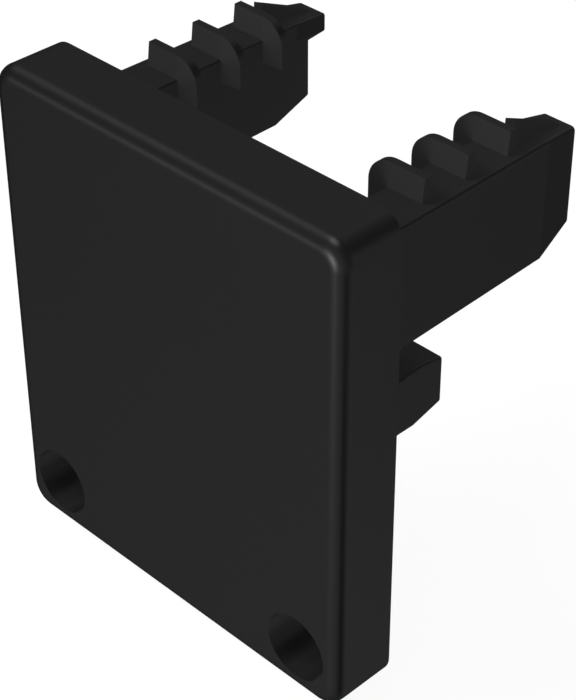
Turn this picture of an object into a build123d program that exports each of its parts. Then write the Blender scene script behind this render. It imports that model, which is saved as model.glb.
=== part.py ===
# Profile end cap: one moulded plastic piece that closes the cut end of a 40 mm wide mounting rail.
# Row frame: +Z up, +X across the rail, +Y into the rail. The origin is the middle of the seat,
# the flat back face of the plate that stops against the rail's cut end. Sizes are in millimetres.

import os
from math import radians, sqrt, tan

from build123d import *

# Plate: the visible face of the cap
plate_width = 40.0
plate_height = 46.6
plate_depth = 6.4
plate_corner_radius = 2.4
plate_front_radius = 1.25

# Screw holes through the plate's lower corners
hole_radius = 3.25
hole_side_inset = 4.8
hole_bottom_inset = 4.75

# Arms: two flat arms near the top that slide into the rail, each with a wider beam along its top
arm_length = 25.2
arm_side_inset = 3.0
arm_top_inset = 3.9
arm_height = 11.6
arm_beam_width = 5.0
arm_beam_height = 1.75
arm_web_thickness = 2.3
arm_underside_angle = 40.5
arm_outer_draft = 1.1
arm_bottom_draft = 0.55
arm_top_edge_radius = 0.42
arm_bottom_edge_radius = 0.3
arm_beam_edge_radius = 0.25

# Nose: every side of an arm leans in over its last few millimetres, to lead it into the rail
nose_length = 4.2
nose_taper = 0.63
nose_bottom_rise = 1.55
nose_end_edge_radius = 0.15

# Fins: thin tapered grips that stand on an arm's beam and wrap round its inner edge
fin_count = 3
fin_first = 7.4
fin_pitch = 5.0
fin_reach = 2.15
fin_tip_thickness = 0.75
fin_root_thickness = 1.25
fin_outer_inset = 1.25
fin_skirt_overhang = 0.45
fin_root_sink = 0.6

# Barb: a narrow ramp behind the last fin, steep at the front and falling away to the nose
barb_gap = 0.5
barb_inset = 2.4
barb_width = 0.95
barb_foot_width = 1.15
barb_height = 2.1
barb_end_margin = 0.7

# Pegs: two short blocks below the arms that centre the cap in the rail
peg_length = 8.7
peg_width = 5.0
peg_height = 5.75
peg_gap = 2.75
peg_nose_length = 3.3
peg_nose_rise = 0.85
peg_neck_length = 3.2
peg_crown_radius = 13.0
peg_edge_radius = 0.3

# Places worked out from the driving sizes
half_width = plate_width / 2
half_height = plate_height / 2
hole_x = half_width - hole_side_inset
hole_z = hole_bottom_inset - half_height
arm_outer_x = half_width - arm_side_inset
arm_inner_x = arm_outer_x - arm_beam_width
web_inner_x = arm_outer_x - arm_web_thickness
arm_top_z = half_height - arm_top_inset
arm_ledge_z = arm_top_z - arm_beam_height
arm_bottom_z = arm_top_z - arm_height
nose_start_y = arm_length - nose_length
root_y = -plate_depth / 2
small = 0.001


def side_slab(points, x_low, x_high):
    """A slab whose outline is drawn in the side view, as (y, z) points, and that spans x_low to x_high."""
    outline = Polyline(*[(x_low, y, z) for y, z in points], close=True)
    return extrude(make_face(outline), amount=x_high - x_low, dir=(1, 0, 0))


def plan_slab(points, z_low, z_high):
    """A slab whose outline is drawn from above, as (x, y) points, and that spans z_low to z_high."""
    outline = Polyline(*[(x, y, z_low) for x, y in points], close=True)
    return extrude(make_face(outline), amount=z_high - z_low, dir=(0, 0, 1))


def end_slab(points, y_low, y_high):
    """A slab whose outline is drawn looking along +Y, as (x, z) points, and that spans y_low to y_high."""
    outline = Polyline(*[(x, y_low, z) for x, z in points], close=True)
    return extrude(make_face(outline), amount=y_high - y_low, dir=(0, 1, 0))


def make_plate():
    """The rounded rectangle of the face, with its front edge rounded and its two screw holes."""
    seat_plane = Plane(origin=(0, 0, 0), x_dir=(1, 0, 0), z_dir=(0, -1, 0))
    face = seat_plane * RectangleRounded(plate_width, plate_height, plate_corner_radius)
    plate = extrude(face, amount=plate_depth)
    front_edges = plate.faces().sort_by(Axis.Y)[0].edges()
    plate = fillet(front_edges, plate_front_radius)
    for side in (-1, 1):
        drill = Cylinder(hole_radius, 3 * plate_depth, rotation=(90, 0, 0))
        plate -= Pos(side * hole_x, 0, hole_z) * drill
    return plate


def make_arm_body():
    """The right arm without its fins: its outlines from the end, the side and above, intersected."""
    outer_lean = tan(radians(arm_outer_draft))
    bottom_lean = tan(radians(arm_bottom_draft))
    root_outer_x = arm_outer_x - root_y * outer_lean
    nose_outer_x = arm_outer_x - nose_start_y * outer_lean
    root_bottom_z = arm_bottom_z + root_y * bottom_lean
    nose_bottom_z = arm_bottom_z + nose_start_y * bottom_lean
    underside_drop = (web_inner_x - arm_inner_x) * tan(radians(arm_underside_angle))
    section = end_slab(
        [
            (arm_inner_x, arm_top_z),
            (root_outer_x, arm_top_z),
            (root_outer_x, root_bottom_z),
            (web_inner_x, root_bottom_z),
            (web_inner_x, arm_ledge_z - underside_drop),
            (arm_inner_x, arm_ledge_z),
        ],
        root_y,
        arm_length,
    )
    side = side_slab(
        [
            (root_y, root_bottom_z),
            (nose_start_y, nose_bottom_z),
            (arm_length, nose_bottom_z + nose_bottom_rise),
            (arm_length, arm_top_z - nose_taper),
            (nose_start_y, arm_top_z),
            (root_y, arm_top_z),
        ],
        arm_inner_x,
        root_outer_x,
    )
    plan = plan_slab(
        [
            (arm_inner_x, root_y),
            (root_outer_x, root_y),
            (nose_outer_x, nose_start_y),
            (nose_outer_x - nose_taper, arm_length),
            (arm_inner_x + nose_taper, arm_length),
            (arm_inner_x, nose_start_y),
        ],
        root_bottom_z,
        arm_top_z,
    )
    body = section & side & plan
    outer_top = long_edges(body, web_inner_x, root_outer_x, arm_top_z - nose_taper, arm_top_z)
    body = fillet(outer_top, arm_top_edge_radius)
    nose_end_bottom_z = nose_bottom_z + nose_bottom_rise
    bottom = long_edges(body, web_inner_x, root_outer_x, root_bottom_z, nose_end_bottom_z)
    body = fillet(bottom, arm_bottom_edge_radius)
    beam_inner_end_x = arm_inner_x + nose_taper
    beam_inner = long_edges(body, arm_inner_x, beam_inner_end_x, arm_ledge_z - nose_taper, arm_top_z)
    body = fillet(beam_inner, arm_beam_edge_radius)
    return fillet(body.faces().sort_by(Axis.Y)[-1].edges(), nose_end_edge_radius)


def long_edges(body, x_low, x_high, z_low, z_high):
    """The straight edges that run along the arm and have their middles within a range across and up."""
    chosen = []
    for edge in body.edges().filter_by(GeomType.LINE):
        middle = edge.position_at(0.5)
        runs_along = abs(edge.position_at(0).Y - edge.position_at(1).Y) > nose_length - small
        across = x_low - small < middle.X < x_high + small
        up = z_low - small < middle.Z < z_high + small
        if runs_along and across and up:
            chosen.append(edge)
    return chosen


def fin_outline(low, high):
    """Corner points (distance along the arm, height) of a fin's tapered section between two heights."""
    lean = (fin_root_thickness - fin_tip_thickness) / 2 / fin_reach
    low_half = fin_root_thickness / 2 - lean * low
    high_half = fin_root_thickness / 2 - lean * high
    return [(-low_half, low), (low_half, low), (high_half, high), (-high_half, high)]


def make_fin(y):
    """One fin: a tapered strip over the beam, the same strip turned down round the middle of the
    beam's rounded inner edge, and a skirt on the beam's inner side."""
    bend_x = arm_inner_x + arm_beam_edge_radius
    bend_z = arm_top_z - arm_beam_edge_radius
    over = side_slab(
        [(y + along, arm_top_z + height) for along, height in fin_outline(-fin_root_sink, fin_reach)],
        bend_x,
        arm_outer_x - fin_outer_inset,
    )
    bend_outline = fin_outline(-arm_beam_edge_radius, fin_reach)
    bend_corners = [(bend_x, y + along, arm_top_z + height) for along, height in bend_outline]
    bend_face = make_face(Polyline(*bend_corners, close=True))
    bend_axis = Axis((bend_x, y, bend_z), (0, -1, 0))
    bend = revolve(bend_face, axis=bend_axis, revolution_arc=90)
    skirt = plan_slab(
        [(arm_inner_x - height, y + along) for along, height in fin_outline(0, fin_reach)],
        arm_ledge_z - fin_skirt_overhang,
        bend_z,
    )
    return over + bend + skirt


def make_barb():
    """The ramp behind the last fin, a little wider at its foot than along its ridge."""
    middle_x = arm_inner_x + barb_inset
    front_y = fin_first + (fin_count - 1) * fin_pitch + fin_root_thickness / 2 + barb_gap
    end_y = arm_length - barb_end_margin
    end_z = arm_top_z - nose_taper * (end_y - nose_start_y) / nose_length
    foot_z = end_z - fin_root_sink
    ramp = side_slab(
        [(front_y, foot_z), (front_y, arm_top_z + barb_height), (end_y, end_z), (end_y, foot_z)],
        arm_inner_x,
        arm_outer_x,
    )
    wedge = end_slab(
        [
            (middle_x - barb_foot_width / 2, foot_z),
            (middle_x + barb_foot_width / 2, foot_z),
            (middle_x + barb_width / 2, arm_top_z + barb_height),
            (middle_x - barb_width / 2, arm_top_z + barb_height),
        ],
        front_y,
        end_y,
    )
    return ramp & wedge


def make_peg():
    """The right peg: a straight neck, then a head with a shallow crown on top and a raised lower end."""
    top_z = arm_bottom_z - peg_gap
    bottom_z = top_z - peg_height
    crown_y = peg_length - peg_nose_length
    crown_centre_z = top_z - peg_crown_radius
    neck_top_z = crown_centre_z + sqrt(peg_crown_radius**2 - (crown_y - peg_neck_length) ** 2)
    inner_x = arm_outer_x - peg_width
    neck = side_slab(
        [
            (root_y, bottom_z),
            (peg_neck_length, bottom_z),
            (peg_neck_length, neck_top_z),
            (root_y, neck_top_z),
        ],
        inner_x,
        arm_outer_x,
    )
    head = side_slab(
        [
            (peg_neck_length, bottom_z),
            (crown_y, bottom_z),
            (peg_length, bottom_z + peg_nose_rise),
            (peg_length, top_z),
            (peg_neck_length, top_z),
        ],
        inner_x,
        arm_outer_x,
    )
    crown = Cylinder(peg_crown_radius, 2 * plate_width, rotation=(0, 90, 0))
    peg = neck + (head & Pos(0, crown_y, crown_centre_z) * crown)
    chosen = []
    for edge in peg.edges():
        at_end = edge.position_at(0.5).Y > peg_length - small
        along_side = abs(edge.position_at(0).Y - edge.position_at(1).Y) > small
        if at_end or along_side:
            chosen.append(edge)
    return fillet(chosen, peg_edge_radius)


def make_cap():
    """The whole cap: the plate, and the right arm, its fins, barb and peg with their mirror images."""
    side_parts = make_arm_body()
    for index in range(fin_count):
        side_parts += make_fin(fin_first + index * fin_pitch)
    side_parts += make_barb()
    cap = make_plate() + side_parts + mirror(side_parts, about=Plane.YZ)
    peg = make_peg()
    return cap + peg + mirror(peg, about=Plane.YZ)


os.makedirs("parts", exist_ok=True)
end_cap = make_cap()
export_step(end_cap, "parts/end_cap.step")
box = end_cap.bounding_box()
print("solids", len(end_cap.solids()), "valid", end_cap.is_valid)
print("size", round(box.size.X, 3), round(box.size.Y, 3), round(box.size.Z, 3))
print("volume cm3", round(end_cap.volume / 1000, 3), "faces", len(end_cap.faces()))
centre = end_cap.center(CenterOf.MASS)
print("centre of mass", round(centre.X, 3), round(centre.Y, 3), round(centre.Z, 3))
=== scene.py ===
# %% [markdown]
# # A plastic cap for the end of a mounting rail
#
# The real cap is one black moulding: a rounded plate with two screw holes, and behind it two finned
# arms and two short pegs that push into the rail. All of its forms are already in the CAD solid, so
# this file has two jobs. It gives the solid a believable moulded plastic, and it builds the small
# photo studio that shows a glossy black thing well.

from math import cos, radians, sin

import bpy
import numpy as np
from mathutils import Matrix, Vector


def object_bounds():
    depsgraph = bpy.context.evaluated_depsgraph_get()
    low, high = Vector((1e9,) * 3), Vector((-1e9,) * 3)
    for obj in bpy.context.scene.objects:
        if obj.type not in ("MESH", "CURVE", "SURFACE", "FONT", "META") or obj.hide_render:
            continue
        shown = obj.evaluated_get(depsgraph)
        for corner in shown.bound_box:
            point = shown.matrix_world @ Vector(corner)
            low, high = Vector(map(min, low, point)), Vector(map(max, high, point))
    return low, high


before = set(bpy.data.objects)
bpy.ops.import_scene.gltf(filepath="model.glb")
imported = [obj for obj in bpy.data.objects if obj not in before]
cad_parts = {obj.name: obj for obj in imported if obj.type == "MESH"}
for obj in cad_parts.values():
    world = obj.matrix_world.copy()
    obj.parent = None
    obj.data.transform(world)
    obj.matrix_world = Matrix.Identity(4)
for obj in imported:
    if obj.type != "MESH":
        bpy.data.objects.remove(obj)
cad_low, cad_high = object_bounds()
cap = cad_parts["end_cap"]
mm = 0.001
print("cap", [round((high - low) / mm, 2) for low, high in zip(cad_low, cad_high)], "mm")

# %% [markdown]
# ## A short way to write shaders
#
# A Blender material is a graph of nodes. Written node by node it is long and hard to read, so one
# small class wraps an output socket and gives it Python's operators. `mask * 0.5 + 0.1` then adds
# two Math nodes and links them. The reflected forms make `1 - mask` work too.

# %% A socket that understands arithmetic
class Wire:
    """One output socket of a node tree. Arithmetic on it adds Math nodes."""

    def __init__(self, tree, socket):
        self.tree = tree
        self.socket = socket

    def math(self, operation, *values):
        return self.tree.node("ShaderNodeMath", {"operation": operation}, self, *values)

    def __add__(self, other):
        return self.math("ADD", other)

    def __mul__(self, other):
        return self.math("MULTIPLY", other)

    def __rsub__(self, other):
        return self.tree.node("ShaderNodeMath", {"operation": "SUBTRACT"}, other, self)

    __radd__ = __add__
    __rmul__ = __mul__


class Tree:
    """A node tree that is written as expressions."""

    def __init__(self, owner):
        owner.use_nodes = True
        self.nodes = owner.node_tree.nodes
        self.links = owner.node_tree.links
        self.nodes.clear()

    def node(self, kind, settings=None, *values, out=0, **named):
        """Adds a node: its settings first, then the values or links of its sockets, by order or by name."""
        made = self.nodes.new(kind)
        for name, value in (settings or {}).items():
            setattr(made, name, value)
        for key, value in [*enumerate(values), *named.items()]:
            socket = made.inputs[key.replace("_", " ") if isinstance(key, str) else key]
            if isinstance(value, Wire):
                self.links.new(value.socket, socket)
            elif value is not None:
                socket.default_value = value
        return Wire(self, made.outputs[out])

    def output(self, kind, shader):
        """Links a finished shader to the tree's output."""
        end = self.nodes.new(kind)
        self.links.new(shader.socket, end.inputs["Surface"])


def new_material(name):
    """An empty material and its tree."""
    material = bpy.data.materials.new(name)
    return material, Tree(material)


print("shader helpers ready")

# %% [markdown]
# ## Black moulded plastic
#
# The cap is filled with black pigment all the way through, so its own colour is nearly black and
# what the eye reads as its shape is mostly reflection. The steel mould leaves a very fine grain
# on the skin. Noise on Object coordinates gives that grain in the bump, and slower noise lets the
# gloss wander a little, as it does where the plastic cooled at different speeds.
#
# A painted texture could give the same grain, but it would have to be wrapped round every fin and
# peg. Noise in space needs no wrapping and has no seams.
#
# Smooth plastic mirrors like chrome where it is seen at a glancing angle. The real cap's outlines stay
# dark instead, because the grain breaks that mirror up. Layer Weight's Facing goes from 0, where a
# surface faces the viewer, to 1 at its outline. A power of it keeps the change near the outline, and
# a Mix Shader fades the gloss there to plain matte black.
#
# The cap is left out of its own reflections. Each fin would otherwise mirror the next one and the
# plate, and the row of fins would go dark between them. This way each face mirrors the studio alone
# and keeps a clear tone of its own. Its shadows on itself stay.

# %% The plastic
plastic_colour = (0.0115, 0.0115, 0.0118, 1.0)
least_roughness = 0.19
roughness_wander = 0.06
outline_power = 4.0
grain_size = 0.12 * mm
grain_height = 0.01 * mm
grain_strength = 0.02
flow_size = 9.0 * mm


def make_plastic():
    """Nearly black base, a gloss that wanders and fades at the outlines, and a fine grain as bump."""
    material, tree = new_material("moulded_black_plastic")
    place = tree.node("ShaderNodeTexCoord", out="Object")
    flow = tree.node("ShaderNodeTexNoise", {}, Vector=place, Scale=1 / flow_size, Detail=3.0)
    grain = tree.node("ShaderNodeTexNoise", {}, Vector=place, Scale=1 / grain_size, Detail=2.0)
    bump = tree.node("ShaderNodeBump", {}, Strength=grain_strength, Distance=grain_height, Height=grain)
    gloss = tree.node(
        "ShaderNodeBsdfPrincipled",
        {},
        Base_Color=plastic_colour,
        Roughness=flow * roughness_wander + least_roughness,
        IOR=1.5,
        Normal=bump,
    )
    outline = tree.node("ShaderNodeLayerWeight", {}, Blend=0.5, out="Facing")
    matte = tree.node("ShaderNodeBsdfDiffuse", {}, Color=plastic_colour, Normal=bump)
    skin = tree.node("ShaderNodeMixShader", {}, outline.math("POWER", outline_power), gloss, matte)
    tree.output("ShaderNodeOutputMaterial", skin)
    return material


plastic = make_plastic()
cap.data.materials.clear()
cap.data.materials.append(plastic)
cap.visible_glossy = False
print("plastic on", cap.name, len(cap.data.polygons), "triangles")

# %% [markdown]
# ## Floor
#
# The photograph shows the cap on plain white, with hardly a shadow. The floor is an ordinary pale
# surface to the light, so it lifts the undersides and takes the cap's shadow. To the camera most of
# it is a flat white, and only a part is the lit surface, so the shadow stays as a faint one.
#
# Reflections are drawn in the world below. The floor lets those rays through, so that the world
# decides what the glossy plastic mirrors, from above and from below.

# %% The floor
floor_half_size = 1.5
floor_colour = (0.8, 0.8, 0.8, 1.0)
floor_white = 1.06
floor_white_share = 0.88


def mirror_rays(tree):
    """1 for a ray that left the plastic as a reflection, or that passed through something clear."""
    glossy_ray = tree.node("ShaderNodeLightPath", out="Is Glossy Ray")
    clear_ray = tree.node("ShaderNodeLightPath", out="Is Transmission Ray")
    return glossy_ray.math("MAXIMUM", clear_ray)


def make_floor():
    """A flat square just under the cap, white to the camera and a plain pale grey to the light."""
    corners = np.array([(-1, -1, 0), (1, -1, 0), (1, 1, 0), (-1, 1, 0)], float) * floor_half_size
    corners[:, 2] = cad_low.z
    mesh = bpy.data.meshes.new("floor")
    mesh.from_pydata(corners.tolist(), [], [(0, 1, 2, 3)])
    floor = bpy.data.objects.new("floor", mesh)
    bpy.context.scene.collection.objects.link(floor)
    material, tree = new_material("pale_floor")
    camera_ray = tree.node("ShaderNodeLightPath", out="Is Camera Ray")
    plain = tree.node("ShaderNodeBsdfDiffuse", {}, Color=floor_colour)
    white = tree.node("ShaderNodeEmission", {}, Strength=floor_white)
    seen = tree.node("ShaderNodeMixShader", {}, camera_ray * floor_white_share, plain, white)
    through = tree.node("ShaderNodeBsdfTransparent", {})
    both = tree.node("ShaderNodeMixShader", {}, mirror_rays(tree), seen, through)
    tree.output("ShaderNodeOutputMaterial", both)
    mesh.materials.append(material)
    return floor


floor = make_floor()
print(floor.name, "at", round(cad_low.z / mm, 2), "mm")

# %% [markdown]
# ## What the plastic mirrors
#
# A black glossy thing is drawn by its surroundings. Each rounded edge sweeps its mirror direction
# across the room, so a softbox turns into a light line along the edge, and a dark card into a dark
# one. This studio is written as a short list of soft spots. Each has a direction, given as a turn
# and a rise in degrees, a tightness and a strength. A turn of 0 is the cap's right, 90 is behind
# it and -90 is in front. A negative strength is a dark card.
#
# A spot is strongest where the ray points straight at it. The dot product of the two directions
# says how nearly it does, and a power makes the spot tighter.

# %% The world
room_light = 0.5
mirror_base = 0.125
mirror_spots = {
    "softbox over the left": (-176, 51, 19, 0.53),
    "low softbox at the front left": (-130, -7, 43, 0.53),
    "pale room in front": (-83, -10, 2.3, 0.37),
    "lamp in front": (-91, -7, 22, 4.10),
    "lamp overhead": (-111, 83, 22, 2.65),
    "dark wall at the left": (-171, 0, 6.2, -0.35),
    "softbox over the back": (94, 38, 14, 0.33),
    "dark card behind": (127, -5, 23, -0.05),
    "dark card low behind": (62, -37, 33, -0.16),
    "pale room at the right": (-8, 24, 1, 0.34),
    "dark ceiling at the right": (14, 35, 1.4, -0.33),
    "dark card low at the right": (-17, -44, 23, -0.28),
    "dark floor at the back left": (115, -49, 2.8, -0.10),
    "pale card low at the back left": (135, -35, 14, 0.13),
    "softbox at the back right": (41, 3, 26, 0.22),
    "low softbox at the back right": (50, -43, 8, 0.21),
}


def toward(turn, rise):
    """The unit vector of a direction given by its turn and rise in degrees."""
    level = cos(radians(rise))
    return (level * cos(radians(turn)), level * sin(radians(turn)), sin(radians(rise)))


def mirror_level(tree):
    """How bright the studio is in the direction of the ray."""
    ray = tree.node("ShaderNodeTexCoord", out="Generated")
    total = mirror_base
    for turn, rise, tightness, strength in mirror_spots.values():
        aim = toward(turn, rise)
        facing = tree.node("ShaderNodeVectorMath", {"operation": "DOT_PRODUCT"}, ray, aim, out="Value")
        spot = facing.math("MAXIMUM", 0.0).math("POWER", tightness)
        total = spot * strength + total
    return total.math("MAXIMUM", 0.0)


def make_world():
    """White to the camera, the studio's spots to reflections, and a plain soft grey to the rest."""
    world = bpy.data.worlds.new("studio")
    bpy.context.scene.world = world
    tree = Tree(world)
    camera_ray = tree.node("ShaderNodeLightPath", out="Is Camera Ray")
    mirror_ray = mirror_rays(tree)
    plain = (1.0 - mirror_ray) * room_light
    level = mirror_ray * mirror_level(tree) + plain + camera_ray * (1.0 - room_light)
    tree.output("ShaderNodeOutputWorld", tree.node("ShaderNodeBackground", {}, Strength=level))


make_world()
print("world with", len(mirror_spots), "soft spots")

# %% [markdown]
# ## The key light
#
# One large softbox from the front left gives the plain light. It is hidden from reflections, because
# the spots above already draw them.

# %% The lamp
def add_lamp(name, place, aim, size, watts):
    """A square area lamp at a place, turned to face the aim and left out of reflections."""
    lamp = bpy.data.lights.new(name, "AREA")
    lamp.size = size
    lamp.energy = watts
    holder = bpy.data.objects.new(name, lamp)
    bpy.context.scene.collection.objects.link(holder)
    holder.location = place
    holder.rotation_euler = (Vector(aim) - Vector(place)).to_track_quat("-Z", "Y").to_euler()
    holder.visible_glossy = False
    return holder


key_place = (-0.35, -0.30, 0.45)
key_size = 0.30
key_watts = 3.0
centre = (cad_low + cad_high) / 2
key = add_lamp("key_softbox", key_place, centre, key_size, key_watts)
print(key.name, round((key.location - centre).length, 2), "m away")

# %% [markdown]
# ## Camera
#
# The view looks down along the diagonal of a cube, 45 degrees round from the front, so that the
# plate's front, side and top all show, with the arms behind. The far edges draw together a little,
# and that tells how near the camera is: about 18 cm. At that distance a lens of 105 mm fills the
# frame. A small shift of the lens slides the picture in its frame without turning the camera.
#
# The Standard view transform shows a colour as it is written. The film-like ones would grey the white.

# %% The camera
camera_place = Vector((102.9, -93.57, 102.9)) * mm
camera_turn = 45.0
camera_tilt = 54.7356
focal_pixels = 2052.1
photo_width = 576
photo_height = 700
centre_right = 299.8
centre_down = 314.3
sensor_width = 36.0


def make_camera():
    """A long lens above the cap's front right corner, with the small shift that frames it."""
    lens = bpy.data.cameras.new("camera")
    lens.sensor_width = sensor_width
    lens.lens = focal_pixels / photo_height * sensor_width
    lens.shift_x = (photo_width / 2 - centre_right) / photo_height
    lens.shift_y = (centre_down - photo_height / 2) / photo_height
    lens.clip_start = 0.01
    lens.clip_end = 10.0
    camera = bpy.data.objects.new("camera", lens)
    bpy.context.scene.collection.objects.link(camera)
    camera.location = camera_place
    camera.rotation_euler = (radians(camera_tilt), 0.0, radians(camera_turn))
    bpy.context.scene.camera = camera
    return camera


camera = make_camera()
bpy.context.scene.view_settings.view_transform = "Standard"
print("camera lens", round(camera.data.lens, 2), "mm")
